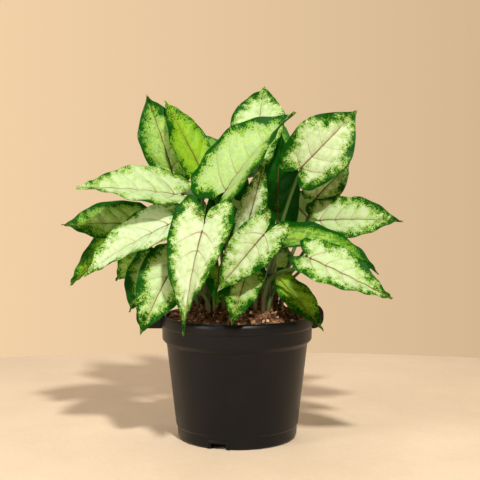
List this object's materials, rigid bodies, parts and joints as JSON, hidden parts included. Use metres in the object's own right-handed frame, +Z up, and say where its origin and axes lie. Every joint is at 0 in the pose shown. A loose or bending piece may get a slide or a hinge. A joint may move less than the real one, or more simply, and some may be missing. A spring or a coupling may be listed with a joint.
{
  "type": "potted syngonium",
  "caption": "Bushy arrowhead plant with separate folded leaves on thin stalks, standing in a soil-filled round black nursery pot with two side lugs.",
  "frame": {"origin": "centre of the pot's underside, on the surface that it stands on", "axes": "+Z up along the pot's axis, -Y towards the front of the plant, +X to its right side as seen from the front"},
  "size_m": [0.2851, 0.2328, 0.2997],
  "materials": {
    "black_plastic": "satin",
    "coco_peat": "rough, crumbly",
    "stem_bark": "dull, ringed",
    "variegated_leaf": "smooth, faint gloss"
  },
  "bodies": {
    "root": {"pot": "black_plastic", "soil": "coco_peat", "stem_front_left": "stem_bark", "stem_front_right": "stem_bark", "stem_left": "stem_bark", "stem_right": "stem_bark", "stem_back_left": "stem_bark", "stem_back_right": "stem_bark", "stem_middle": "stem_bark", "leaf_01": "variegated_leaf", "leaf_02": "variegated_leaf", "leaf_03": "variegated_leaf", "leaf_04": "variegated_leaf", "leaf_05": "variegated_leaf", "leaf_06": "variegated_leaf", "leaf_07": "variegated_leaf", "leaf_08": "variegated_leaf", "leaf_09": "variegated_leaf", "leaf_10": "variegated_leaf", "leaf_11": "variegated_leaf", "leaf_12": "variegated_leaf", "leaf_13": "variegated_leaf", "leaf_14": "variegated_leaf", "leaf_15": "variegated_leaf", "leaf_16": "variegated_leaf", "leaf_17": "variegated_leaf", "leaf_18": "variegated_leaf", "leaf_19": "variegated_leaf", "leaf_20": "variegated_leaf", "leaf_21": "variegated_leaf", "leaf_22": "variegated_leaf", "leaf_23": "variegated_leaf", "leaf_24": "variegated_leaf", "leaf_25": "variegated_leaf", "leaf_26": "variegated_leaf", "leaf_27": "variegated_leaf", "leaf_28": "variegated_leaf", "leaf_29": "variegated_leaf", "leaf_30": "variegated_leaf", "leaf_31": "variegated_leaf", "leaf_32": "variegated_leaf", "leaf_33": "variegated_leaf", "leaf_34": "variegated_leaf", "leaf_35": "variegated_leaf", "leaf_36": "variegated_leaf"}
  },
  "joints": []
}
